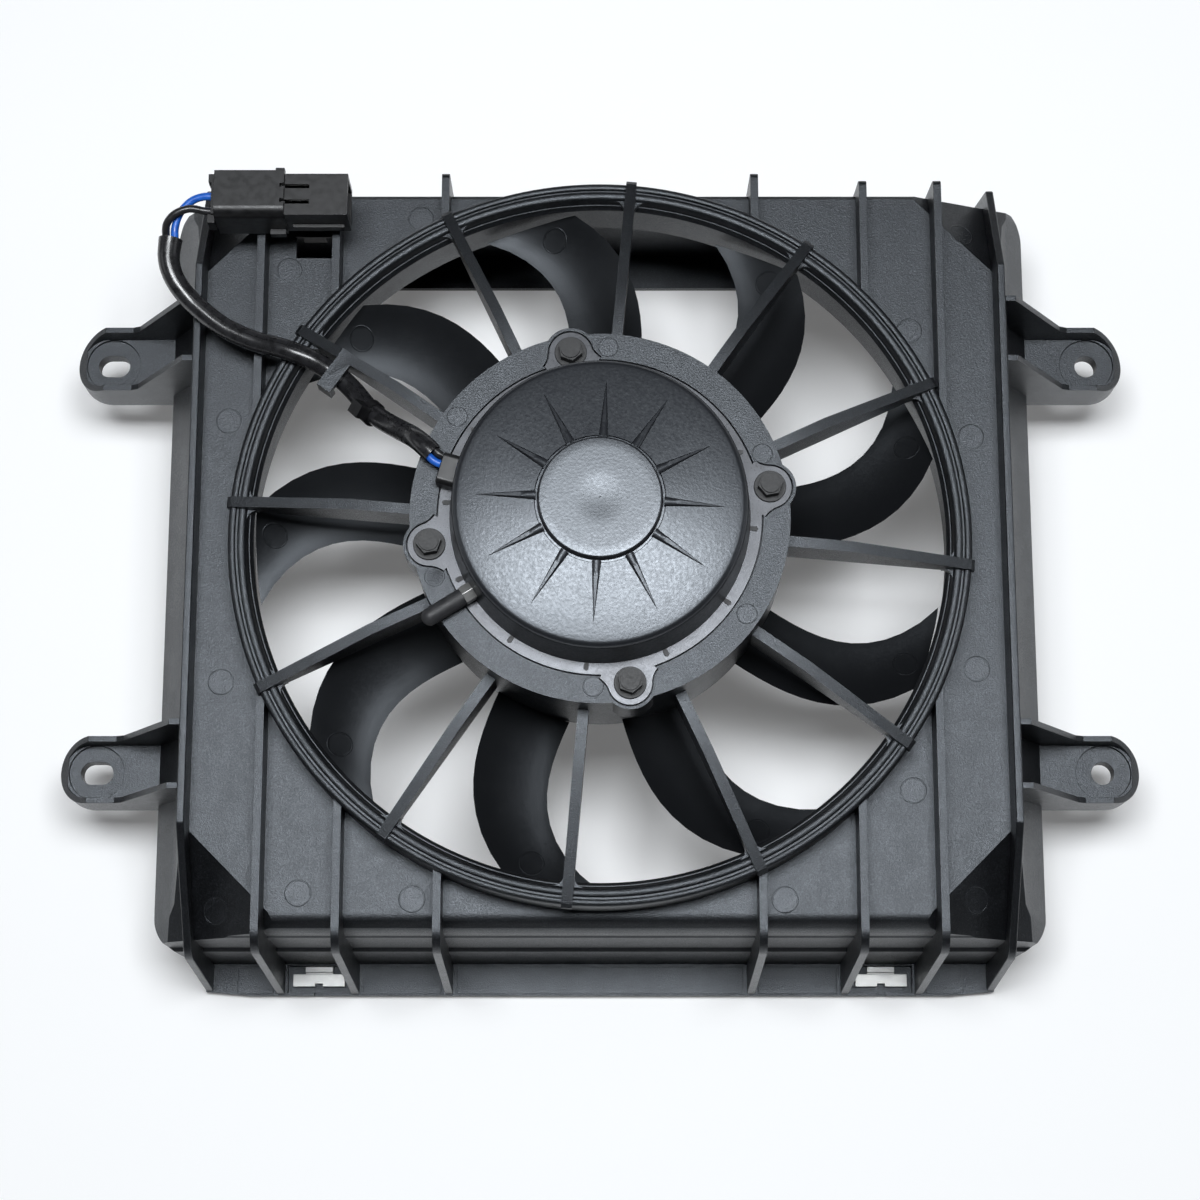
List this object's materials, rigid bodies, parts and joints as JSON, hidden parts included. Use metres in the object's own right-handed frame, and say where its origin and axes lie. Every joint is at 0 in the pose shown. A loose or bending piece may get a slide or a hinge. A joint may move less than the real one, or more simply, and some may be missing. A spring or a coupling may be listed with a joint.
{
  "type": "intercooler cooling fan",
  "caption": "Rectangular moulded shroud with a spoked carrier that holds a pancake motor and its bladed fan, with ribs, mounting ears and a wired connector",
  "frame": {"origin": "on the fan axis, in the plane of the air mouth's rim", "axes": "+Z along the fan axis from the mouth to the motor, +Y towards the edge with the connector, +X to the right with the motor up"},
  "size_m": [0.418, 0.3236, 0.15],
  "materials": {
    "shroud_plastic": "glass-filled moulding with a fine speckle",
    "fan_plastic": "moulded, slightly satin",
    "connector_plastic": "fine moulded grain",
    "textured_cover": "black leather-grain coating",
    "satin_steel": "dark satin coating",
    "bolt_steel": "dark zinc",
    "bright_steel": "bright zinc",
    "soft_rubber": "matt",
    "sleeve_plastic": "smooth tubing",
    "wire_blue": "wire insulation",
    "wire_black": "wire insulation",
    "ferrite": "sintered",
    "card": "laminated card",
    "carbon": "pressed carbon",
    "core_steel": "stacked laminations",
    "copper": "enamelled copper"
  },
  "bodies": {
    "shroud_body": {"shroud_panel": "shroud_plastic", "shroud_ribs": "shroud_plastic", "side_ribs": "shroud_plastic", "mounting_ears": "shroud_plastic", "end_flanges": "shroud_plastic", "duct_ring": "shroud_plastic", "spokes": "shroud_plastic", "motor_carrier": "shroud_plastic", "motor_flange": "satin_steel", "motor_cover": "textured_cover", "motor_base": "satin_steel", "mount_bolts": "bolt_steel", "bolt_washers": "bolt_steel", "vent_fitting": "bright_steel", "vent_cap": "soft_rubber", "cable_gland": "connector_plastic", "wire_blue": "wire_blue", "wire_black": "wire_black", "cable_sleeve": "sleeve_plastic", "cable_tie": "connector_plastic", "connector_housing": "connector_plastic", "connector_lock": "connector_plastic", "connector_seal": "soft_rubber", "connector_terminals": "bright_steel", "connector_clip": "connector_plastic", "spring_clips": "bright_steel", "magnets": "ferrite", "brush_card": "card", "brushes": "carbon", "brush_springs": "bright_steel", "bearing_outer_races": "bright_steel"},
    "rotor": {"fan_hub": "fan_plastic", "fan_blades": "fan_plastic", "motor_shaft": "bright_steel", "armature_core": "core_steel", "armature_windings": "copper", "commutator": "copper", "bearing_inner_races": "bright_steel", "bearing_balls": "bright_steel", "fan_washer": "bright_steel", "fan_nut": "bright_steel"}
  },
  "joints": [
    {"name": "fan_spin", "type": "hinge", "parent": "shroud_body", "child": "rotor", "pos_m": [0, 0, 0], "axis": [0, 0, 1], "continuous": true}
  ]
}
